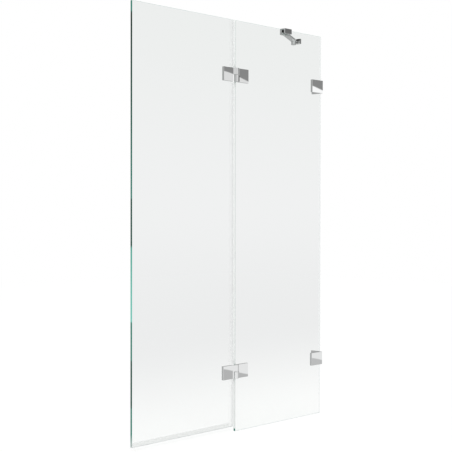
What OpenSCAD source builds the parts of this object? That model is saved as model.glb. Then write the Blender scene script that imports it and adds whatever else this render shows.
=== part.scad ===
// Two-panel shower screen: a glass door hung on a fixed pane that stands against a wall.
// The origin is where the wall meets the sill, on the middle plane of the glass.
// +X points into the wall, +Y to the braced side behind the glass, and +Z up.

/* [Screen] */
// Width from the wall to the free edge of the door
screen_w = 1000; // [900:10:1200]
// Height of the glass above the sill
screen_h = 1500; // [1200:10:2000]
// Width of the door glass
door_w = 489.5; // [350:0.5:560]
// Thickness of both glasses
glass_t = 8; // [6:1:10]
// Gap between the edges of the two glasses
pane_gap = 11; // [9:0.5:14]
// Gap between the fixed glass and the wall
wall_gap = 1.2; // [1:0.1:6]
// Height of the door glass above the sill
door_lift = 20; // [16:1:30]
// Width of the ground bevel along the glass edges
arris = 0.8; // [0.3:0.1:1.5]

/* [Hinges] */
// Distance from the end of the door glass to the middle of the hinge beside it
hinge_inset = 200; // [100:5:350]
// Width of a hinge leaf
leaf_w = 50; // [44:1:70]
// Height of a hinge leaf and of the barrel
leaf_h = 50; // [46:1:80]
// Thickness of a hinge leaf
leaf_t = 8.5; // [7:0.5:10]
// Distance from the hinge axis to each leaf
leaf_offset = 15.5; // [14:0.5:20]
// How far the hinge axis stands in front of the leaves
axis_proud = 0.5; // [0.4:0.1:2]
// Diameter of the hinge barrel
barrel_d = 18; // [17.5:0.5:22]
// Thickness of the closed end of each barrel half
barrel_cap = 4; // [2:0.5:6]
// Diameter of the hinge pin
pin_d = 8; // [6:0.5:9]
// Outer diameter of the bush that turns on the pin
bush_d = 12; // [11:0.5:14]
// Thickness of the thrust washer between the barrel halves
washer_t = 0.8; // [0.5:0.1:2]
// Diameter of the thrust washer
washer_d = 15; // [14.5:0.5:17]

/* [Glass fixings] */
// Vertical distance between the two fixings of a leaf or bracket
fixing_pitch = 26; // [24:1:30]
// Distance from the far edge of a leaf or bracket to its fixings
fixing_inset = 25; // [18:1:30]
// Diameter of the cone screw's shank
screw_d = 8; // [6:0.5:8]
// Diameter of the cone screw's head, flush with the glass
screw_head_d = 18; // [16:0.5:18]
// How far the cone screw reaches into the leaf
screw_bite = 6; // [4:0.5:6]
// Width across flats of the key socket in the cone screw
socket_af = 5; // [4:0.5:6]
// Depth of the key socket
socket_depth = 3.5; // [2:0.5:4]
// Wall thickness of the sleeve between screw and glass
sleeve_wall = 1; // [0.6:0.1:1.5]
// Thickness of the gasket between metal and glass
gasket_t = 1; // [0.5:0.1:2]
// Inset of a gasket from the edge of the metal
gasket_inset = 0.5; // [0.2:0.1:2]

/* [Wall brackets] */
// Width of the bracket plate in front of the glass
bracket_w = 66; // [60:1:90]
// Thickness of the bracket leg that lies on the wall
leg_t = 8; // [6:0.5:10]
// How far the leg reaches behind the middle of the glass
leg_reach = 38; // [34:1:60]
// Distance of the wall screws behind the middle of the glass
wall_screw_back = 22; // [16:1:24]
// Vertical distance between the two wall screws
wall_screw_pitch = 26; // [22:1:32]
// Diameter of the hole for a wall screw
wall_hole_d = 5.5; // [4:0.5:6.5]
// Diameter of the countersink for a wall screw
wall_sink_d = 10.5; // [9:0.5:12]
// Room round the leg where the glass is notched
notch_room = 1; // [0.6:0.1:2]
// Radius of the inner corners of the notch
notch_r = 3; // [1:0.5:5]

/* [Seals] */
// Wall thickness of the clip-on seals
clip_wall = 1; // [0.6:0.1:1.2]
// How far a door seal clips over the glass
clip_depth = 14; // [8:1:18]
// Gap between each end of a seal and the metal beside it
seal_end_gap = 1; // [0.5:0.1:3]
// Thickness of a soft seal fin
fin_t = 1.2; // [0.8:0.1:2]
// Height of the lower end of the door's edge fin above the sill
edge_fin_low = 10; // [6:1:14]
// Clear height left under the drip fin
drip_clear = 6; // [3:1:12]
// How far the slanted drip rail stands out behind the clip
drip_rail = 6; // [3:0.5:10]

/* [Brace] */
// Distance from the wall to the middle of the glass clamp
clamp_from_wall = 210; // [150:5:260]
// Length of the glass clamp
clamp_l = 41; // [38:1:60]
// How far the clamp's front jaw reaches down over the glass
front_drop = 14; // [12:1:20]
// How far the clamp's rear block reaches down over the glass
rear_drop = 18; // [17:1:24]
// Thickness of the front jaw
front_jaw_t = 5; // [4:0.5:8]
// Thickness of the rear block
rear_block_t = 9.5; // [8:0.5:14]
// Chamfer along the top rear edge of the block
rear_chamfer = 3; // [1:0.5:4]
// Thickness of the wall between the liner and the slot for the arm
rear_wall = 5; // [4:0.5:7]
// Thickness of the clamp over the top edge of the glass
clamp_roof = 4; // [3:0.5:8]
// Thickness of the clamp's soft liner
liner_t = 1.5; // [0.5:0.1:2]
// Distance from the middle of the clamp to the arm's pivot
pivot_shift = 14; // [8:0.5:14]
// Radius of the lugs that hold the pivot pin
lug_r = 6.5; // [5:0.5:6.5]
// How far the lower lug reaches down below the top of the glass
lug_drop = 15; // [14:0.5:17]
// Width of the arm
arm_w = 22; // [16:0.5:24]
// Thickness of the arm
arm_t = 8; // [5:0.5:9]
// How far the arm's top lies below the top of the glass
arm_drop = 2; // [0:0.5:4]
// Gap between the arm's round end and the walls of its slot
arm_room = 0.5; // [0.4:0.1:2]
// Distance from the wall to the foot pivot
foot_from_wall = 36; // [32:1:60]
// Distance of the foot pivot behind the middle of the glass
foot_back = 109; // [90:1:140]
// Width of the foot flange on the wall
flange_w = 20.5; // [20:0.5:40]
// Height of the foot flange
flange_h = 20.5; // [16:0.5:30]
// Thickness of the foot flange
flange_t = 8; // [4:0.5:10]
// Diameter of the boss under the arm's wall end
boss_d = 19; // [14:0.5:21]
// Depth of the boss below the flange's lower edge
boss_drop = 7; // [2:0.5:12]
// Thickness of the floor under the screw in the boss
foot_floor = 2; // [1:0.5:4]
// Width of the neck between boss and flange
neck_w = 10; // [6:0.5:11]
// Distance between the two screw holes of the foot
foot_hole_pitch = 11.5; // [11:0.5:12]
// Diameter of the foot's screw holes
foot_hole_d = 4; // [3:0.5:4]
// Diameter of the countersink of the foot's screw holes
foot_sink_d = 7; // [6:0.5:7]
// Diameter of the arm's two pivots
pivot_d = 6; // [5:0.5:7]
// Outer diameter of the bushes in the arm
arm_bush_d = 10; // [9.5:0.5:14]
// Diameter of the pivot screw's head over the foot
foot_head_d = 15; // [12:0.5:18]
// Thickness of the pivot screw's head over the foot
foot_head_t = 3.5; // [2:0.5:6]
// Diameter of the clamp's set screws
set_screw_d = 4; // [3:0.5:4]
// Distance between the clamp's set screws
set_screw_pitch = 26; // [12:1:30]

/* [Finish and fits] */
// Bevel along the edges of the metal parts
bevel = 0.5; // [0.3:0.1:1]
// Clearance round a piece that sits fast in another
seat = 0.05; // [0.02:0.01:0.1]
// Clearance between a pin and the bush that turns on it
running = 0.05; // [0.02:0.01:0.1]
// Gap between pieces that move past each other
body_gap = 0.3; // [0.2:0.05:0.6]

/* [Hidden] */
$fn = 64;
// Cutting tools pass this far beyond the surface that they open
over = 1;

fixed_w = screen_w - door_w - pane_gap - wall_gap;
half_glass = glass_t / 2;
door_edge_x = door_w - screen_w;
fixed_edge_x = door_edge_x + pane_gap;

leaf_back = half_glass + gasket_t;
leaf_front = leaf_back + leaf_t;
axis_x = door_edge_x + pane_gap / 2;
axis_y = -(leaf_front + axis_proud);
barrel_r = barrel_d / 2;
lower_z = door_lift + hinge_inset;
upper_z = screen_h - hinge_inset;
fitting_heights = [lower_z, upper_z];
thrust_top = washer_t / 2 + body_gap;

head_r = screw_head_d / 2;
shank_r = screw_d / 2;
screw_l = glass_t + gasket_t + screw_bite;
door_fixing_x = axis_x - leaf_offset - leaf_w + fixing_inset;
fixed_fixing_x = axis_x + leaf_offset + leaf_w - fixing_inset;
bracket_fixing_x = fixing_inset - bracket_w;

pivot_z = screen_h - arm_drop - arm_t / 2;
slot_back = half_glass + liner_t + rear_wall;
pivot_back = slot_back + arm_room + arm_w / 2;
pivot_x = pivot_shift - clamp_from_wall;
arm_run = -pivot_x - foot_from_wall;
arm_rise = foot_back - pivot_back;
arm_l = sqrt(arm_run * arm_run + arm_rise * arm_rise);
arm_angle = atan2(arm_rise, arm_run);
clamp_top = liner_t + clamp_roof;
slot_high = body_gap - arm_drop;
slot_low = -arm_drop - arm_t - body_gap;
boss_top = -arm_t / 2 - body_gap;
boss_bottom = -flange_h / 2 - boss_drop;

// A rectangle with its four corners cut at 45 degrees, centred on the origin
module cut_rect(w, h, cut) {
    polygon([[-w / 2 + cut, -h / 2], [w / 2 - cut, -h / 2], [w / 2, -h / 2 + cut], [w / 2, h / 2 - cut],
             [w / 2 - cut, h / 2], [-w / 2 + cut, h / 2], [-w / 2, h / 2 - cut], [-w / 2, -h / 2 + cut]]);
}

// A box from corner low to corner high with all its edges bevelled
module bevelled_box(low, high, cut) {
    size = high - low;
    translate((low + high) / 2)
        intersection() {
            linear_extrude(size.z, center = true) cut_rect(size.x, size.y, cut);
            rotate([90, 0, 0]) linear_extrude(size.y, center = true) cut_rect(size.x, size.z, cut);
            rotate([90, 0, 90]) linear_extrude(size.x, center = true) cut_rect(size.y, size.z, cut);
        }
}

// A plain box from corner low to corner high
module box(low, high) {
    translate(low) cube(high - low);
}

// An upright round bar from z = low to z = high with both ends bevelled
module round_bar(r, low, high, cut) {
    rotate_extrude()
        polygon([[0, low], [r - cut, low], [r, low + cut], [r, high - cut], [r - cut, high], [0, high]]);
}

// An upright tube from z = low to z = high
module tube(outer_r, inner_r, low, high) {
    rotate_extrude() polygon([[inner_r, low], [outer_r, low], [outer_r, high], [inner_r, high]]);
}

// Puts its children at the two fixings of a fitting, z = 0 on the rear face of the glass, z towards the front
module at_fixings(x, height) {
    for (side = [-1, 1])
        translate([x, half_glass, height + side * fixing_pitch / 2]) rotate([90, 0, 0]) children();
}

// The cone screw's outline, grown by grow all round and started lead behind the glass
module cone_plug(grow, reach, lead) {
    rotate_extrude()
        polygon([[0, -lead], [head_r + grow + lead, -lead], [shank_r + grow, head_r - shank_r],
                 [shank_r + grow, reach], [0, reach]]);
}

// The countersunk hole that a cone screw and its sleeve need in the glass
module glass_hole() {
    cone_plug(sleeve_wall + 2 * seat, glass_t + over, over);
}

// The soft sleeve that keeps the cone screw off the glass
module sleeve() {
    difference() {
        cone_plug(sleeve_wall + seat, glass_t, 0);
        cone_plug(seat, glass_t + over, over);
    }
}

// A flush cone screw with a hexagonal key socket
module cone_screw() {
    difference() {
        cone_plug(0, screw_l, 0);
        translate([0, 0, -over]) cylinder(h = socket_depth + over, d = socket_af / cos(30), $fn = 6);
    }
}

// The blind tapped hole for a cone screw in the back of a leaf or bracket
module tapped_hole() {
    translate([0, 0, glass_t + gasket_t - over]) cylinder(h = screw_bite + body_gap + over, r = shank_r + seat);
}

// A flat gasket between x = left and x = right with its two screw holes at x = hole_x
module gasket(left, right, hole_x, height) {
    difference() {
        box([left + gasket_inset, -leaf_back + seat, height - leaf_h / 2 + gasket_inset],
            [right - gasket_inset, -half_glass - seat, height + leaf_h / 2 - gasket_inset]);
        at_fixings(hole_x, height) cylinder(h = screw_l, r = shank_r + seat);
    }
}

// The web that runs from the front of the leaf to the barrel, seen from above, for the leaf on the right
module web_outline() {
    corner = [leaf_offset + 2 * bevel, axis_proud];
    touch_angle = atan2(corner.y, corner.x) - acos(barrel_r / norm(corner));
    touch_r = barrel_r - bevel / 2;
    polygon([[0, 0], touch_r * [cos(touch_angle), sin(touch_angle)], corner,
             [leaf_offset + leaf_t / 2, axis_proud + leaf_t / 2], [leaf_offset + 2 * bevel, axis_proud + leaf_t],
             [0, axis_proud + leaf_t]]);
}

// The plate of a leaf with its web and barrel half between z = low and z = high, origin on the hinge axis
module leaf_blank(low, high) {
    bevelled_box([leaf_offset, axis_proud, -leaf_h / 2],
                 [leaf_offset + leaf_w, axis_proud + leaf_t, leaf_h / 2], bevel);
    translate([0, 0, low + 2 * bevel]) linear_extrude(high - low - 4 * bevel) web_outline();
    round_bar(barrel_r, low, high, bevel);
}

// A leaf on the fixed pane, with the lower barrel half that holds the pin
module fixed_leaf(height) {
    color("silver")
        difference() {
            translate([axis_x, axis_y, height])
                difference() {
                    leaf_blank(-leaf_h / 2, -washer_t / 2);
                    translate([0, 0, barrel_cap - leaf_h / 2]) cylinder(h = leaf_h / 2, r = pin_d / 2 + seat);
                }
            at_fixings(fixed_fixing_x, height) tapped_hole();
        }
}

// A leaf on the door, with the upper barrel half that holds the bush
module door_leaf(height) {
    color("silver")
        difference() {
            translate([axis_x, axis_y, height])
                mirror([1, 0, 0])
                    difference() {
                        leaf_blank(thrust_top, leaf_h / 2);
                        cylinder(h = leaf_h / 2 - barrel_cap, r = bush_d / 2 + seat);
                    }
            at_fixings(door_fixing_x, height) tapped_hole();
        }
}

module hinge_pin(height) {
    color("gainsboro")
        translate([axis_x, axis_y, height])
            round_bar(pin_d / 2, barrel_cap - leaf_h / 2 + seat, leaf_h / 2 - barrel_cap - body_gap, bevel);
}

module hinge_bush(height) {
    color("ivory")
        translate([axis_x, axis_y, height])
            tube(bush_d / 2, pin_d / 2 + running, thrust_top, leaf_h / 2 - barrel_cap - seat);
}

module thrust_washer(height) {
    color("ivory")
        translate([axis_x, axis_y, height])
            tube(washer_d / 2, pin_d / 2 + 2 * running, -washer_t / 2 + seat, washer_t / 2);
}

module fixed_gasket(height) {
    color("lightgray")
        gasket(axis_x + leaf_offset, axis_x + leaf_offset + leaf_w, fixed_fixing_x, height);
}

module door_gasket(height) {
    color("lightgray")
        gasket(axis_x - leaf_offset - leaf_w, axis_x - leaf_offset, door_fixing_x, height);
}

// The notch that lets a bracket's leg pass the edge of the fixed glass
module leg_notch(height) {
    top = leaf_h / 2 + notch_room;
    back = leg_t + notch_room;
    translate([0, 0, height])
        rotate([90, 0, 0])
            linear_extrude(glass_t + 2 * over, center = true) {
                translate([-back + notch_r, -top]) square([back + over, 2 * top]);
                translate([-back, -top + notch_r]) square([back + over, 2 * (top - notch_r)]);
                for (side = [-1, 1])
                    translate([-back + notch_r, side * (top - notch_r)]) circle(notch_r);
            }
}

module fixed_glass() {
    color([0.72, 0.86, 0.82, 0.5])
        difference() {
            bevelled_box([-wall_gap - fixed_w, -half_glass, 0], [-wall_gap, half_glass, screen_h], arris);
            for (height = fitting_heights) {
                at_fixings(fixed_fixing_x, height) glass_hole();
                at_fixings(bracket_fixing_x, height) glass_hole();
                leg_notch(height);
            }
        }
}

module door_glass() {
    color([0.72, 0.86, 0.82, 0.5])
        difference() {
            bevelled_box([-screen_w, -half_glass, door_lift], [door_edge_x, half_glass, screen_h], arris);
            for (height = fitting_heights)
                at_fixings(door_fixing_x, height) glass_hole();
        }
}

// The corner bracket: a plate in front of the glass and a leg that passes its edge along the wall
module wall_bracket(height) {
    color("silver")
        difference() {
            union() {
                bevelled_box([-bracket_w, -leaf_front, height - leaf_h / 2],
                             [0, -leaf_back, height + leaf_h / 2], bevel);
                bevelled_box([-leg_t, -leaf_front, height - leaf_h / 2], [0, leg_reach, height + leaf_h / 2], bevel);
            }
            at_fixings(bracket_fixing_x, height) tapped_hole();
            for (side = [-1, 1])
                translate([-leg_t, wall_screw_back, height + side * wall_screw_pitch / 2])
                    rotate([0, 90, 0]) countersunk_hole(wall_hole_d, wall_sink_d, leg_t);
        }
}

// A hole along z through a plate from z = 0 to z = depth, sunk at z = 0 for a screw head
module countersunk_hole(d, sink_d, depth) {
    rotate_extrude()
        polygon([[0, -over], [sink_d / 2 + over, -over], [d / 2, (sink_d - d) / 2], [d / 2, depth + over],
                 [0, depth + over]]);
}

// The bracket's gasket, turned back between the leg and the notched edge of the glass
module bracket_gasket(height) {
    color("lightgray") {
        gasket(-bracket_w, gasket_inset - leg_t - seat, bracket_fixing_x, height);
        box([-leg_t - notch_room + seat, -half_glass - seat - gasket_t / 2, height - leaf_h / 2 + gasket_inset],
            [-leg_t - seat, half_glass, height + leaf_h / 2 - gasket_inset]);
    }
}

module hinge_sleeves(x) {
    color("ivory")
        for (height = fitting_heights)
            at_fixings(x, height) sleeve();
}

module hinge_screws(x) {
    color("gainsboro")
        for (height = fitting_heights)
            at_fixings(x, height) cone_screw();
}

// The seal clip's outline: a channel open to the left that takes the glass edge at x = 0
module clip_outline(depth) {
    inner = half_glass + seat;
    outer = inner + clip_wall;
    polygon([[-depth, -outer], [clip_wall + seat, -outer], [clip_wall + seat, outer], [-depth, outer],
             [-depth, inner], [seat, inner], [seat, -inner], [-depth, -inner]]);
}

// The three lengths of upright seal below, between and above the fittings
module between_fittings(bottom) {
    cut = leaf_h / 2 + seal_end_gap;
    starts = [bottom, lower_z + cut, upper_z + cut];
    ends = [lower_z - cut, upper_z - cut, screen_h];
    for (i = [0:2])
        translate([0, 0, starts[i]]) linear_extrude(ends[i] - starts[i]) children();
}

// The door's edge seal, with a fin near the front that closes the gap to the fixed glass
module door_edge_seal() {
    color("whitesmoke") {
        between_fittings(door_lift)
            translate([door_edge_x, 0]) clip_outline(clip_depth);
        between_fittings(edge_fin_low)
            translate([door_edge_x + clip_wall, -half_glass]) square([pane_gap - body_gap - clip_wall, fin_t]);
    }
}

// The wall seal: a thin flat strip between the edge of the fixed glass and the wall, flush with the glass
module wall_seal() {
    color("whitesmoke")
        between_fittings(0)
            translate([seat - wall_gap, -half_glass]) square([wall_gap - seat, glass_t]);
}

// The drip seal under the door: a clip, an upright fin and a slanted rail that throws water back
module door_drip_seal() {
    half_w = half_glass + seat + clip_wall;
    fin_top = door_lift - seat - clip_wall / 2;
    web_low = door_lift - seat - clip_wall;
    color("whitesmoke")
        translate([-screen_w, 0, 0]) {
            rotate([90, 0, 90])
                linear_extrude(door_w - clip_depth - body_gap)
                    translate([0, door_lift]) rotate(-90) clip_outline(clip_depth);
            rotate([90, 0, 90])
                linear_extrude(door_w) {
                    translate([-half_w, web_low]) square([2 * half_w, clip_wall]);
                    polygon([[-fin_t / 2, fin_top], [fin_t / 2, fin_top], [fin_t / 4, drip_clear],
                             [-fin_t / 4, drip_clear]]);
                    polygon([[half_w - fin_t, web_low], [half_w, web_low + clip_wall / 2],
                             [half_w + drip_rail, web_low - drip_rail + clip_wall / 2],
                             [half_w + drip_rail - fin_t / 2, web_low - drip_rail]]);
                }
        }
}

// Puts its children with the origin over the middle of the clamp, at the top edge of the glass
module at_clamp() {
    translate([-clamp_from_wall, 0, screen_h]) children();
}

// The clamp's set screws go through the rear block under the arm's slot, z = 0 on the liner
module at_set_screws() {
    for (side = [-1, 1])
        translate([side * set_screw_pitch / 2, half_glass + liner_t, (slot_low - rear_drop) / 2])
            rotate([-90, 0, 0]) children();
}

// The clamp seen from its end: front jaw, roof and rear block round the lined edge of the glass
module clamp_outline() {
    inner = half_glass + liner_t;
    front = inner + front_jaw_t;
    back = inner + rear_block_t;
    polygon([[-front, -front_drop + bevel], [-front + bevel, -front_drop], [-inner, -front_drop], [-inner, liner_t],
             [inner, liner_t], [inner, -rear_drop], [back, -rear_drop], [back, clamp_top - rear_chamfer],
             [back - rear_chamfer, clamp_top], [-front, clamp_top]]);
}

// A lug of the clamp from z = low to z = high, with the pivot in its round end
module lug(low, high) {
    translate([pivot_shift, pivot_back, 0]) round_bar(lug_r, low, high, bevel);
    bevelled_box([pivot_shift - lug_r, slot_back - bevel, low], [pivot_shift + lug_r, pivot_back + 2 * bevel, high], bevel);
}

module brace_clamp() {
    inner = half_glass + liner_t;
    color("silver")
        at_clamp()
            difference() {
                union() {
                    intersection() {
                        rotate([90, 0, 90]) linear_extrude(clamp_l, center = true) clamp_outline();
                        bevelled_box([-clamp_l / 2, -inner - front_jaw_t, -rear_drop],
                                     [clamp_l / 2, inner + rear_block_t, clamp_top], bevel);
                    }
                    lug(-lug_drop, slot_low);
                    lug(slot_high, clamp_top);
                }
                box([pivot_shift - arm_w / 2 - arm_room, slot_back, slot_low],
                    [clamp_l / 2 + over, pivot_back + arm_w, slot_high]);
                translate([pivot_shift, pivot_back, -lug_drop - over])
                    cylinder(h = clamp_top + lug_drop - clamp_roof / 2 + over, r = pivot_d / 2 + seat);
                at_set_screws()
                    translate([0, 0, -over]) cylinder(h = rear_block_t + 2 * over, r = set_screw_d / 2 + seat);
            }
}

module clamp_liner() {
    inner = half_glass + seat;
    outer = half_glass + liner_t - seat;
    color("dimgray")
        at_clamp()
            rotate([90, 0, 90])
                linear_extrude(clamp_l - 2 * bevel, center = true)
                    polygon([[-outer, -front_drop + bevel], [-inner, -front_drop + bevel], [-inner, seat], [inner, seat],
                             [inner, -rear_drop + bevel], [outer, -rear_drop + bevel], [outer, liner_t - seat],
                             [-outer, liner_t - seat]]);
}

module clamp_set_screws() {
    color("gainsboro")
        at_clamp()
            at_set_screws()
                difference() {
                    round_bar(set_screw_d / 2, 0, rear_block_t - bevel, bevel);
                    translate([0, 0, rear_block_t / 2])
                        cylinder(h = rear_block_t, d = set_screw_d / 2 / cos(30), $fn = 6);
                }
}

// The pin on which the arm turns in the clamp, with a key socket in its lower end
module clamp_pivot_pin() {
    low = bevel - lug_drop;
    color("gainsboro")
        at_clamp()
            translate([pivot_shift, pivot_back, 0])
                difference() {
                    round_bar(pivot_d / 2, low, clamp_top - clamp_roof / 2 - seat, bevel);
                    translate([0, 0, low - over])
                        cylinder(h = clamp_roof / 2 + over, d = pivot_d / 2 / cos(30), $fn = 6);
                }
}

// Puts its children in the arm's own frame: origin in the clamp pivot at mid-thickness, x along the arm
module along_arm() {
    translate([pivot_x, pivot_back, pivot_z]) rotate(arm_angle) children();
}

// The flat arm with a round eye at each end
module brace_arm() {
    color("silver")
        along_arm()
            difference() {
                union() {
                    translate([arm_l / 2, 0, 0])
                        rotate([90, 0, 90]) linear_extrude(arm_l, center = true) cut_rect(arm_w, arm_t, bevel);
                    for (x = [0, arm_l])
                        translate([x, 0, 0]) round_bar(arm_w / 2, -arm_t / 2, arm_t / 2, bevel);
                }
                for (x = [0, arm_l])
                    translate([x, 0, -arm_t / 2 - over]) cylinder(h = arm_t + 2 * over, r = arm_bush_d / 2 + seat);
            }
}

module arm_bushes() {
    color("ivory")
        along_arm()
            for (x = [0, arm_l])
                translate([x, 0, 0]) tube(arm_bush_d / 2, pivot_d / 2 + running, -arm_t / 2, arm_t / 2);
}

// The wall foot: a flange on the wall, a neck and the boss that carries the arm
module brace_foot() {
    color("silver")
        translate([-foot_from_wall, foot_back, pivot_z])
            difference() {
                union() {
                    bevelled_box([foot_from_wall - flange_t, -flange_w / 2, -flange_h / 2],
                                 [foot_from_wall, flange_w / 2, flange_h / 2], bevel);
                    box([0, -neck_w / 2, -flange_h / 2 + bevel],
                        [foot_from_wall - flange_t / 2, neck_w / 2, boss_top - bevel]);
                    round_bar(boss_d / 2, boss_bottom, boss_top, bevel);
                }
                translate([0, 0, boss_bottom + foot_floor])
                    cylinder(h = boss_top - boss_bottom, r = pivot_d / 2 + seat);
                for (side = [-1, 1])
                    translate([foot_from_wall - flange_t, side * foot_hole_pitch / 2, 0])
                        rotate([0, 90, 0]) countersunk_hole(foot_hole_d, foot_sink_d, flange_t);
            }
}

// The screw on which the arm turns over the foot: a flat head above the arm and a shank down into the boss
module foot_pivot_screw() {
    low = boss_bottom + foot_floor + seat;
    head_low = arm_t / 2 + body_gap;
    head_high = head_low + foot_head_t;
    color("gainsboro")
        translate([-foot_from_wall, foot_back, pivot_z])
            difference() {
                union() {
                    round_bar(foot_head_d / 2, head_low, head_high, bevel);
                    round_bar(pivot_d / 2, low, head_low + foot_head_t / 2, bevel);
                }
                translate([0, 0, head_low + foot_head_t / 2])
                    cylinder(h = foot_head_t, d = socket_af / cos(30), $fn = 6);
            }
}

fixed_glass();
wall_seal();
fixed_leaf(upper_z);  // upper_fixed_leaf
fixed_leaf(lower_z);  // lower_fixed_leaf
hinge_pin(upper_z);  // upper_hinge_pin
hinge_pin(lower_z);  // lower_hinge_pin
thrust_washer(upper_z);  // upper_thrust_washer
thrust_washer(lower_z);  // lower_thrust_washer
fixed_gasket(upper_z);  // upper_fixed_gasket
fixed_gasket(lower_z);  // lower_fixed_gasket
hinge_sleeves(fixed_fixing_x);  // fixed_leaf_sleeves
hinge_screws(fixed_fixing_x);  // fixed_leaf_screws
wall_bracket(upper_z);  // upper_wall_bracket
wall_bracket(lower_z);  // lower_wall_bracket
bracket_gasket(upper_z);  // upper_bracket_gasket
bracket_gasket(lower_z);  // lower_bracket_gasket
hinge_sleeves(bracket_fixing_x);  // bracket_sleeves
hinge_screws(bracket_fixing_x);  // bracket_screws
brace_clamp();
clamp_liner();
clamp_set_screws();
clamp_pivot_pin();
door_glass();
door_edge_seal();
door_drip_seal();
door_leaf(upper_z);  // upper_door_leaf
door_leaf(lower_z);  // lower_door_leaf
hinge_bush(upper_z);  // upper_hinge_bush
hinge_bush(lower_z);  // lower_hinge_bush
door_gasket(upper_z);  // upper_door_gasket
door_gasket(lower_z);  // lower_door_gasket
hinge_sleeves(door_fixing_x);  // door_leaf_sleeves
hinge_screws(door_fixing_x);  // door_leaf_screws
brace_arm();
arm_bushes();
brace_foot();
foot_pivot_screw();
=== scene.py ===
"""A two-panel shower screen: its finishes, and the plain studio it stands in. Lengths are in metres."""

import math

import bpy
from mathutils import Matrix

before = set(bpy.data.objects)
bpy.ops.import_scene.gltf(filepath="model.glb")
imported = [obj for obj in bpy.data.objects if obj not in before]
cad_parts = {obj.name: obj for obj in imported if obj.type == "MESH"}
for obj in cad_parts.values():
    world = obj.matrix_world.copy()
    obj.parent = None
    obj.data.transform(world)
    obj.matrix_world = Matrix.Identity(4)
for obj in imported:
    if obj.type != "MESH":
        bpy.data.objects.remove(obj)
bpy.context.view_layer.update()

# The two panes: clear toughened glass, 8 mm thick, with ground and polished edges.
# The faces are nearly colourless and mirror the room only faintly. Along an edge the eye
# looks down the whole width of the pane, so the iron in the glass shows as deep green.


def linear(code):
    """An sRGB hex colour, such as "#8FA3A0", as linear red, green, blue and alpha."""
    parts = [int(code[i : i + 2], 16) / 255 for i in (1, 3, 5)]
    return [c / 12.92 if c <= 0.04045 else ((c + 0.055) / 1.055) ** 2.4 for c in parts] + [1.0]


def add(tree, kind, links=None, stops=(), **settings):
    """Adds a node with its settings and colour stops; an input gets a value or another node's output."""
    node = tree.nodes.new("ShaderNode" + kind)
    for name, value in settings.items():
        setattr(node, name, value)
    for name, value in (links or {}).items():
        if isinstance(value, bpy.types.Node):
            tree.links.new(value.outputs[0], node.inputs[name])
        elif isinstance(value, bpy.types.NodeSocket):
            tree.links.new(value, node.inputs[name])
        else:
            node.inputs[name].default_value = value
    for index, (at, code) in enumerate(stops):
        if index >= len(node.color_ramp.elements):
            node.color_ramp.elements.new(1.0)
        node.color_ramp.elements[index].position = at
        node.color_ramp.elements[index].color = linear(code)
    return node


def new_material(name):
    """An empty node material and its tree."""
    material = bpy.data.materials.new(name)
    material.use_nodes = True
    material.node_tree.nodes.clear()
    return material, material.node_tree


def dress(material, *names):
    """Gives the named pieces this material."""
    for name in names:
        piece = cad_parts[name]
        if not piece.data.materials:
            piece.data.materials.append(material)
        for slot in piece.material_slots:
            slot.material = material


# A surface faces along an axis squarely where that part of its normal is above this.
squarely = 0.9
pane_height = 1.5
glass_ior = 1.52
mirror_share = 0.06

toughened_glass, tree = new_material("toughened_glass")
coords = add(tree, "TexCoord")
normal = add(tree, "SeparateXYZ", {0: coords.outputs["Normal"]})
place = add(tree, "SeparateXYZ", {0: coords.outputs["Object"]})
geometry = add(tree, "NewGeometry")
height = add(tree, "Math", {0: place.outputs["Z"], 1: pane_height}, operation="DIVIDE")
face_on = add(tree, "Math", {0: normal.outputs["Y"]}, operation="ABSOLUTE")
on_edge = add(tree, "Math", {0: face_on, 1: squarely}, operation="LESS_THAN")
# What a whole pane passes, with painted light and shade: nearly all at its foot, against the lit floor,
# and a little less from a quarter of its height up. This change with height is painted reflection of the
# room, not in the glass. Light crosses two faces, so each has the square root of it.
pane_tint_painted_shade = add(
    tree, "ValToRGB", {0: height},
    stops=[(0.01, "#F9FAF9"), (0.24, "#EBECEC"), (0.55, "#F0F1F1"), (1.0, "#EDEFEE")],
)
pane_tint_painted_shade.color_ramp.interpolation = "EASE"
face_tint_painted_shade = add(tree, "Gamma", {"Color": pane_tint_painted_shade, "Gamma": 0.5})
clear = add(tree, "BsdfTransparent", {"Color": face_tint_painted_shade})
# A face mirrors on its outer side, and only a small share, as more would draw the room's bands on it.
gloss = add(tree, "BsdfGlossy", {"Color": linear("#FFFFFF"), "Roughness": 0.0})
fresnel = add(tree, "Fresnel", {"IOR": glass_ior})
outside = add(tree, "Math", {0: 1.0, 1: geometry.outputs["Backfacing"]}, operation="SUBTRACT")
front_gloss = add(tree, "Math", {0: fresnel, 1: outside}, operation="MULTIPLY")
faint = add(tree, "Math", {0: front_gloss, 1: mirror_share}, operation="MULTIPLY")
face = add(tree, "MixShader", {0: faint, 1: clear, 2: gloss})
# Up the door's free edge the green comes and goes in long lengths: painted light and shade, a painted
# reflection of the lighter and darker parts of the room. Each length has its two ends, as shares of the
# height, and its colour at each.
pale_green = "#C8D0CE"
bright_green = "#7ACFBF"
soft_green = "#5AAD9B"
middle_green = "#3E8575"
deep_green = "#245246"
black_green = "#1F352D"
lengths = (
    (0.000, 0.009, middle_green, middle_green),
    (0.013, 0.042, pale_green, middle_green),
    (0.043, 0.100, middle_green, middle_green),
    (0.102, 0.203, deep_green, deep_green),
    (0.205, 0.289, middle_green, middle_green),
    (0.291, 0.456, bright_green, soft_green),
    (0.458, 0.562, deep_green, deep_green),
    (0.564, 0.780, middle_green, deep_green),
    (0.960, 0.975, black_green, black_green),
    (0.977, 1.000, middle_green, middle_green),
)
free_green_painted_room = add(
    tree, "ValToRGB", {0: height},
    stops=[stop for low, high, at_low, at_high in lengths for stop in ((low, at_low), (high, at_high))],
)
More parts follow.
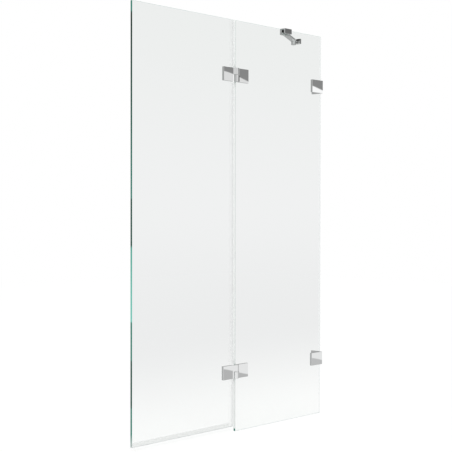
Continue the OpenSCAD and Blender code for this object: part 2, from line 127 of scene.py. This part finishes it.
# The upright edges that face a pale seal are painted lighter, as painted light of the seal behind them,
# and all of them lie right of the door's middle.
# Below the foot of the fin between the panes, and along the top, edges are as green as the free one.
painted_seal_light_green = "#B4C4BF"
free_side = -0.8
seal_side = -0.6
upright_least = 0.5
fin_foot = 0.01
sideways = add(tree, "Math", {0: normal.outputs["X"]}, operation="ABSOLUTE")
upright = add(tree, "Math", {0: sideways, 1: upright_least}, operation="GREATER_THAN")
covered = add(tree, "Math", {0: place.outputs["Z"], 1: fin_foot}, operation="GREATER_THAN")
sealed = add(tree, "Math", {0: upright, 1: covered}, operation="MULTIPLY")
near_seals = add(
    tree, "MapRange", {"Value": place.outputs["X"], "From Min": free_side, "From Max": seal_side}
)
painted_seal_light = add(tree, "Math", {0: near_seals, 1: sealed}, operation="MULTIPLY")
# A Mix node takes its two colours at sockets 6 and 7, and gives the mixed one at output 2.
green = add(
    tree, "Mix", {"Factor": painted_seal_light, 6: free_green_painted_room, 7: linear(painted_seal_light_green)}, data_type="RGBA"
)
# The edge's polish is less fine than a face's, so it is satin and its gloss is weaker.
edge_roughness = 0.2
edge_ior = 1.25
edge = add(
    tree, "BsdfPrincipled",
    {"Base Color": green.outputs[2], "Roughness": edge_roughness, "IOR": edge_ior},
)
inside = add(tree, "BsdfTransparent", {"Color": linear("#FCFDFD")})
rim = add(tree, "MixShader", {0: geometry.outputs["Backfacing"], 1: edge, 2: inside})
pane = add(tree, "MixShader", {0: on_edge, 1: face, 2: rim})
# Light itself passes the pane, so the seals and gaskets behind its edges aren't left in the dark.
path = add(tree, "LightPath")
lit_through = add(tree, "BsdfTransparent", {"Color": linear("#F4F7F6")})
passing = add(
    tree, "Math", {0: path.outputs["Is Shadow Ray"], 1: path.outputs["Is Diffuse Ray"]},
    operation="MAXIMUM",
)
whole = add(tree, "MixShader", {0: passing, 1: pane, 2: lit_through})
add(tree, "OutputMaterial", {"Surface": whole})
dress(toughened_glass, "fixed_glass", "door_glass")

# The seals: soft clear plastic, extruded to a profile and cut to length. Two clip on to the door's
# edges and one is glued in the gap at the wall. All are faintly milky, and the fin that closes the
# gap between the panes is more so. Each reads as a pale band.
streaks_per_metre = 900
streak_ends_per_metre = 0.3
streak_depth = 0.0002
milk_blend = 0.0001
# Each has the axis along which it changes, where it does, and how milky it is below and above that.
# The wall seal is the same all over.
for name, axis, change, low_milk, high_milk in (
    ("wall_seal", "X", -0.6, 0.05, 0.05),
    ("door_edge_seal", "X", -0.5094, 0.005, 0.65),
    ("door_drip_seal", "Z", 0.0182, 0.02, 0.07),
):
    soft_plastic, tree = new_material("extruded_" + name + "_plastic")
    coords = add(tree, "TexCoord")
    place = add(tree, "SeparateXYZ", {0: coords.outputs["Object"]})
    # The die leaves streaks 1.1 mm wide and some metres long. They are drawn upright, as they run
    # on the two tall seals. On the drip seal they are too faint to show which way they run.
    drawn_out = add(
        tree, "Mapping",
        {"Vector": coords.outputs["Object"],
         "Scale": (streaks_per_metre, streaks_per_metre, streak_ends_per_metre)},
    )
    streaks = add(tree, "TexNoise", {"Vector": drawn_out, "Scale": 1.0, "Detail": 2.0})
    milk = add(tree, "ValToRGB", {0: streaks}, stops=[(0.35, "#F6F8F7"), (0.65, "#FDFEFD")])
    bump = add(tree, "Bump", {"Height": streaks, "Strength": 0.05, "Distance": streak_depth})
    milky = add(
        tree, "BsdfPrincipled", {"Base Color": milk, "Roughness": 0.28, "IOR": 1.53, "Normal": bump}
    )
    clear = add(tree, "BsdfTransparent", {"Color": linear("#FEFEFE")})
    share = add(
        tree, "MapRange",
        {"Value": place.outputs[axis], "From Min": change - milk_blend, "From Max": change + milk_blend,
         "To Min": low_milk, "To Max": high_milk},
    )
    body = add(tree, "MixShader", {0: share, 1: clear, 2: milky})
    # Light goes on through the soft plastic.
    path = add(tree, "LightPath")
    passing = add(
        tree, "Math", {0: path.outputs["Is Shadow Ray"], 1: path.outputs["Is Diffuse Ray"]},
        operation="MAXIMUM",
    )
    lit_through = add(tree, "BsdfTransparent", {"Color": linear("#F6F8F7")})
    whole = add(tree, "MixShader", {0: passing, 1: body, 2: lit_through})
    add(tree, "OutputMaterial", {"Surface": whole})
    dress(soft_plastic, name)

# The hinges: cast brass leaves with the barrel in one piece, ground flat, polished and chrome plated,
# each held from behind the glass by two cone screws of the same finish. Chrome is a near perfect
# mirror, so it shows the room. A trace of buffing haze, in patches of 17 mm, softens it here and there.
haze_patches_per_metre = 60
clearest = 0.004
haziest = 0.012
chrome, tree = new_material("polished_chrome_plate")
coords = add(tree, "TexCoord")
haze = add(
    tree, "TexNoise",
    {"Vector": coords.outputs["Object"], "Scale": haze_patches_per_metre, "Detail": 3.0},
)
rough = add(
    tree, "MapRange",
    {"Value": haze, "From Min": 0.3, "From Max": 0.7, "To Min": clearest, "To Max": haziest},
)
mirror = add(
    tree, "BsdfPrincipled", {"Base Color": linear("#F8F9F9"), "Metallic": 1.0, "Roughness": rough}
)
add(tree, "OutputMaterial", {"Surface": mirror})
dress(chrome, "upper_fixed_leaf", "lower_fixed_leaf", "upper_door_leaf", "lower_door_leaf")
dress(chrome, "fixed_leaf_screws", "door_leaf_screws")

# The pins: ground stainless rod, fast in the lower halves of the hinge barrels. The clamp's pivot pin
# and set screws are the same steel. The wheel leaves fine rings round the upright pins, about ten to
# the millimetre, so the steel shines softly and mirrors nothing clearly.
rings_per_metre = 10000
ring_breaks_per_metre = 200
ring_depth = 0.00002
ground_steel, tree = new_material("ground_stainless_steel")
coords = add(tree, "TexCoord")
drawn_out = add(
    tree, "Mapping",
    {"Vector": coords.outputs["Object"],
     "Scale": (ring_breaks_per_metre, ring_breaks_per_metre, rings_per_metre)},
)
rings = add(tree, "TexNoise", {"Vector": drawn_out, "Scale": 1.0, "Detail": 2.0})
scratches = add(tree, "Bump", {"Height": rings, "Strength": 0.15, "Distance": ring_depth})
shades = add(tree, "ValToRGB", {0: rings}, stops=[(0.3, "#B4B5B5"), (0.7, "#CBCCCC")])
steel = add(
    tree, "BsdfPrincipled",
    {"Base Color": shades, "Metallic": 1.0, "Roughness": 0.3, "Normal": scratches},
)
add(tree, "OutputMaterial", {"Surface": steel})
dress(ground_steel, "upper_hinge_pin", "lower_hinge_pin", "clamp_pivot_pin", "clamp_set_screws")

# The bushes, washers and screw sleeves: moulded white nylon, which keeps metal off metal and off the
# glass. The mould leaves a slight grain of 0.4 mm, so it is never glossy.
grains_per_metre = 2500
grain_depth = 0.00005
nylon, tree = new_material("moulded_white_nylon")
coords = add(tree, "TexCoord")
grain = add(
    tree, "TexNoise", {"Vector": coords.outputs["Object"], "Scale": grains_per_metre, "Detail": 2.0}
)
relief = add(tree, "Bump", {"Height": grain, "Strength": 0.2, "Distance": grain_depth})
whites = add(tree, "ValToRGB", {0: grain}, stops=[(0.35, "#E4E4DF"), (0.65, "#EFEFEA")])
resin = add(
    tree, "BsdfPrincipled", {"Base Color": whites, "Roughness": 0.45, "IOR": 1.53, "Normal": relief}
)
add(tree, "OutputMaterial", {"Surface": resin})
dress(nylon, "upper_hinge_bush", "lower_hinge_bush", "arm_bushes")
dress(nylon, "upper_thrust_washer", "lower_thrust_washer")
dress(nylon, "fixed_leaf_sleeves", "door_leaf_sleeves", "bracket_sleeves")

# The gaskets between metal and glass: thin soft sheet, cut a little smaller than the metal over it.
# It is matt and cloudy, in clouds of 2.5 mm, and shows as a thin dull line under the bright metal.
clouds_per_metre = 400
gasket_sheet, tree = new_material("soft_gasket_sheet")
coords = add(tree, "TexCoord")
cloud = add(
    tree, "TexNoise", {"Vector": coords.outputs["Object"], "Scale": clouds_per_metre, "Detail": 3.0}
)
cloudy = add(tree, "ValToRGB", {0: cloud}, stops=[(0.35, "#B9BEBC"), (0.65, "#C9CDCB")])
sheet = add(tree, "BsdfPrincipled", {"Base Color": cloudy, "Roughness": 0.5, "IOR": 1.49})
add(tree, "OutputMaterial", {"Surface": sheet})
dress(gasket_sheet, "upper_fixed_gasket", "lower_fixed_gasket")
dress(gasket_sheet, "upper_door_gasket", "lower_door_gasket")
dress(gasket_sheet, "upper_bracket_gasket", "lower_bracket_gasket")

# The wall brackets: the same plated brass as the hinges. Each is a plate in front of the glass, held
# by cone screws from behind, with a leg that runs back along the wall past the edge of the glass.
dress(chrome, "upper_wall_bracket", "lower_wall_bracket", "bracket_screws")

# The brace: a plated clamp on the top edge, a flat plated arm that turns in the clamp's slot, and
# a plated foot that turns under the far end of the arm and has its flange on the wall.
dress(chrome, "brace_clamp", "brace_arm", "brace_foot", "foot_pivot_screw")

# The clamp's liner: a folded strip of black rubber that keeps the clamp's jaws off the glass. It is
# matt. Below the front jaw, where it lies open, it is drawn pale grey, in specks of 1.1 mm. Inside the
# jaws and on its cut ends it is painted near black: painted shade of the slot.
painted_shade_from = 1.4905
specks_per_metre = 900
rubber, tree = new_material("rubber_with_painted_slot_shade")
coords = add(tree, "TexCoord")
speck_noise = add(
    tree, "TexNoise", {"Vector": coords.outputs["Object"], "Scale": specks_per_metre, "Detail": 3.0}
)
pale_specks = add(tree, "ValToRGB", {0: speck_noise}, stops=[(0.4, "#D2D4D3"), (0.7, "#DCDEDD")])
normal = add(tree, "SeparateXYZ", {0: coords.outputs["Normal"]})
facing_end = add(tree, "Math", {0: normal.outputs["X"]}, operation="ABSOLUTE")
cut_end = add(tree, "Math", {0: facing_end, 1: squarely}, operation="GREATER_THAN")
place = add(tree, "SeparateXYZ", {0: coords.outputs["Object"]})
# Above the front jaw's lower edge, and on the cut ends, the strip is painted near black as painted
# shade.
covered = add(tree, "Math", {0: place.outputs["Z"], 1: painted_shade_from}, operation="GREATER_THAN")
painted_slot_shade = add(tree, "Math", {0: cut_end, 1: covered}, operation="MAXIMUM")
strip = add(tree, "Mix", {"Factor": painted_slot_shade, 6: pale_specks, 7: linear("#3A3B3B")}, data_type="RGBA")
soft = add(tree, "BsdfPrincipled", {"Base Color": strip.outputs[2], "Roughness": 0.7, "IOR": 1.52})
add(tree, "OutputMaterial", {"Surface": soft})
dress(rubber, "clamp_liner")

# The floor: matt white paint under the whole screen. To the eye it is as white as the room, with
# only a trace of shadow. Metal mirrors the room below it in place of the floor.
floor_size = 14.0
floor_glow = 0.78
bpy.ops.object.select_all(action="DESELECT")
bpy.ops.mesh.primitive_plane_add(size=floor_size, location=(0, 0, 0))
floor = bpy.context.object
floor.name = "floor"
floor_paint, tree = new_material("matt_white_floor_paint")
path = add(tree, "LightPath")
paint = add(tree, "BsdfDiffuse", {"Color": linear("#F2F2F2")})
faint_paint = add(tree, "BsdfDiffuse", {"Color": linear("#8F8F8F")})
lift = add(tree, "Emission", {"Color": linear("#FFFFFF"), "Strength": floor_glow})
seen = add(tree, "AddShader", {0: faint_paint, 1: lift})
direct = add(
    tree, "Math", {0: path.outputs["Is Camera Ray"], 1: path.outputs["Is Transmission Ray"]},
    operation="MAXIMUM",
)
plain = add(tree, "MixShader", {0: direct, 1: paint, 2: seen})
open_air = add(tree, "BsdfTransparent")
whole = add(tree, "MixShader", {0: path.outputs["Is Glossy Ray"], 1: plain, 2: open_air})
add(tree, "OutputMaterial", {"Surface": whole})
floor.data.materials.append(floor_paint)

# The room: evenly lit, and plain white to the eye. Bright metal mirrors it as a white band between
# a dark ceiling and a grey floor, with a dim wall behind the screen.
studio_white = 1.0
light_level = 0.8
least_across = 0.001
world = bpy.data.worlds.new("even_white_room")
bpy.context.scene.world = world
world.use_nodes = True
world.cycles.sampling_method = "NONE"
tree = world.node_tree
tree.nodes.clear()
path = add(tree, "LightPath")
# Each way into the room has a slope, which is its rise for each metre across, and a turn, which is
# nought towards the front and grows to the right. least_across keeps the slope finite straight up.
coords = add(tree, "TexCoord")
way = add(tree, "SeparateXYZ", {0: coords.outputs["Generated"]})
x_squared = add(tree, "Math", {0: way.outputs["X"], 1: 2.0}, operation="POWER")
y_squared = add(tree, "Math", {0: way.outputs["Y"], 1: 2.0}, operation="POWER")
across_squared = add(tree, "Math", {0: x_squared, 1: y_squared}, operation="ADD")
across = add(tree, "Math", {0: across_squared}, operation="SQRT")
across = add(tree, "Math", {0: across, 1: least_across}, operation="MAXIMUM")
slope = add(tree, "Math", {0: way.outputs["Z"], 1: across}, operation="DIVIDE")
forward = add(tree, "Math", {0: way.outputs["Y"], 1: -1.0}, operation="MULTIPLY")
turn = add(tree, "Math", {0: way.outputs["X"], 1: forward}, operation="ARCTAN2")
# The panes and leaves mirror the camera's own line of sight at this turn, so the band is laid out
# from there. Each of its edges has a level, a lean as one turns, and small waves, like the folds of
# a hanging backdrop: how deep they are, how close together, and where they start.
band_turn = 0.8106
off_turn = add(tree, "Math", {0: turn, 1: band_turn}, operation="SUBTRACT")
lean = add(tree, "Math", {0: off_turn}, operation="SINE")
band_edges = []
for level, tilt, fold, folds, start in (
    (0.1302, -0.158, 0.0044, 81.2, 1.92),
    (-0.1542, 0.135, 0.0051, 74.3, 2.41),
):
    phase = add(tree, "Math", {0: off_turn, 1: folds, 2: start}, operation="MULTIPLY_ADD")
    wave = add(tree, "Math", {0: phase}, operation="SINE")
    tilted = add(tree, "Math", {0: lean, 1: tilt, 2: level}, operation="MULTIPLY_ADD")
    band_edges.append(add(tree, "Math", {0: wave, 1: fold, 2: tilted}, operation="MULTIPLY_ADD"))
top_edge, low_edge = band_edges
edge_blur = 0.0004
above = add(tree, "Math", {0: slope, 1: top_edge}, operation="SUBTRACT")
below = add(tree, "Math", {0: low_edge, 1: slope}, operation="SUBTRACT")
above_mask = add(tree, "MapRange", {"Value": above, "From Min": -edge_blur, "From Max": edge_blur})
below_mask = add(tree, "MapRange", {"Value": below, "From Min": -edge_blur, "From Max": edge_blur})
ceiling = add(
    tree, "ValToRGB", {0: above},
    stops=[(0.0, "#8B8B8B"), (0.02, "#888888"), (0.05, "#6C6C6C"), (0.4, "#6A6A6A"), (1.0, "#C8C8C8")],
)
# Above eye level, what the hinge leaves mirror of the band is light grey and what the wall bracket
# mirrors is white. Further left, which only rounded metal mirrors, it is greyer. Below eye level it
# has one shade all round.
far_left = -2.0
far_right = 0.2
by_turn = add(tree, "MapRange", {"Value": off_turn, "From Min": far_left, "From Max": far_right})
upper_band = add(
    tree, "ValToRGB", {0: by_turn},
    stops=[(0.0, "#BEBEBE"), (0.15, "#C8C8C8"), (0.35, "#D4D4D4"), (0.8, "#D8D8D8"), (0.91, "#E1E1E1"),
           (0.922, "#E1E1E1"), (0.945, "#FFFFFF"), (1.0, "#FFFFFF")],
)
lower_band = linear("#EAEAEA")
floor_grey = add(tree, "ValToRGB", {0: by_turn}, stops=[(0.91, "#B7B7B7"), (0.95, "#C1C1C1")])
below_eye = add(tree, "Math", {0: slope, 1: 0.0}, operation="LESS_THAN")
band = add(tree, "Mix", {"Factor": below_eye, 6: upper_band, 7: lower_band}, data_type="RGBA")
topped = add(tree, "Mix", {"Factor": above_mask, 6: band.outputs[2], 7: ceiling}, data_type="RGBA")
front_room = add(
    tree, "Mix", {"Factor": below_mask, 6: topped.outputs[2], 7: floor_grey}, data_type="RGBA"
)
rear_start = 0.15
rear_end = 0.35
behind = add(
    tree, "MapRange", {"Value": way.outputs["Y"], "From Min": rear_start, "From Max": rear_end}
)
rear_room = add(
    tree, "Mix", {"Factor": below_eye, 6: linear("#AFAFAF"), 7: linear("#BABABA")}, data_type="RGBA"
)
# Above eye level on the rear wall is a small dark vent, which the brace's foot mirrors.
vent_slope = 0.1618
vent_half_height = 0.0047
vent_turn = -2.262
vent_half_width = 0.02
vent_level = add(
    tree, "Math", {0: slope, 1: vent_slope, 2: vent_half_height}, operation="COMPARE"
)
vent_side = add(tree, "Math", {0: turn, 1: vent_turn, 2: vent_half_width}, operation="COMPARE")
at_vent = add(tree, "Math", {0: vent_level, 1: vent_side}, operation="MULTIPLY")
vented_room = add(
    tree, "Mix", {"Factor": at_vent, 6: rear_room.outputs[2], 7: linear("#303030")}, data_type="RGBA"
)
mirrored_room = add(
    tree, "Mix", {"Factor": behind, 6: front_room.outputs[2], 7: vented_room.outputs[2]},
    data_type="RGBA",
)
direct = add(
    tree, "Math", {0: path.outputs["Is Camera Ray"], 1: path.outputs["Is Transmission Ray"]},
    operation="MAXIMUM",
)
plain_room = add(
    tree, "Mix", {"Factor": direct, 6: [light_level] * 3 + [1.0], 7: [studio_white] * 3 + [1.0]},
    data_type="RGBA",
)
room = add(
    tree, "Mix",
    {"Factor": path.outputs["Is Glossy Ray"], 6: plain_room.outputs[2], 7: mirrored_room.outputs[2]},
    data_type="RGBA",
)
background = add(tree, "Background", {"Color": room.outputs[2], "Strength": 1.0})
add(tree, "OutputWorld", {"Surface": background})

# The lamp: one large soft box, four metres by three, high on the left in front of the screen. It
# gives the matt pieces their shading. Metal doesn't mirror it and the camera doesn't see it.
lamp_data = bpy.data.lights.new("soft_lamp", "AREA")
lamp_data.shape = "RECTANGLE"
lamp_data.size = 4.0
lamp_data.size_y = 3.0
lamp_data.energy = 60.0
lamp = bpy.data.objects.new("soft_lamp", lamp_data)
lamp.location = (-2.6, -3.2, 3.6)
lamp.rotation_euler = (math.radians(48), 0, math.radians(-34))
lamp.visible_glossy = False
lamp.visible_camera = False
bpy.context.scene.collection.objects.link(lamp)

# The camera: nearly level and about four metres away. It looks past the free edge of the door, and
# its lens and place are those at which the panes' edges lie as in the photograph.
pitch_down = 0.0132
roll = -0.00157
heading = -0.81057
camera_data = bpy.data.cameras.new("camera")
camera_data.sensor_width = 36.0
camera_data.lens = 83.23
camera_data.clip_end = 100.0
camera = bpy.data.objects.new("camera", camera_data)
camera.location = (-3.2875, -2.6079, 0.8011)
camera.rotation_euler = (math.radians(90) - pitch_down, roll, heading)
bpy.context.scene.collection.objects.link(camera)
bpy.context.scene.camera = camera
bpy.context.scene.view_settings.view_transform = "Standard"
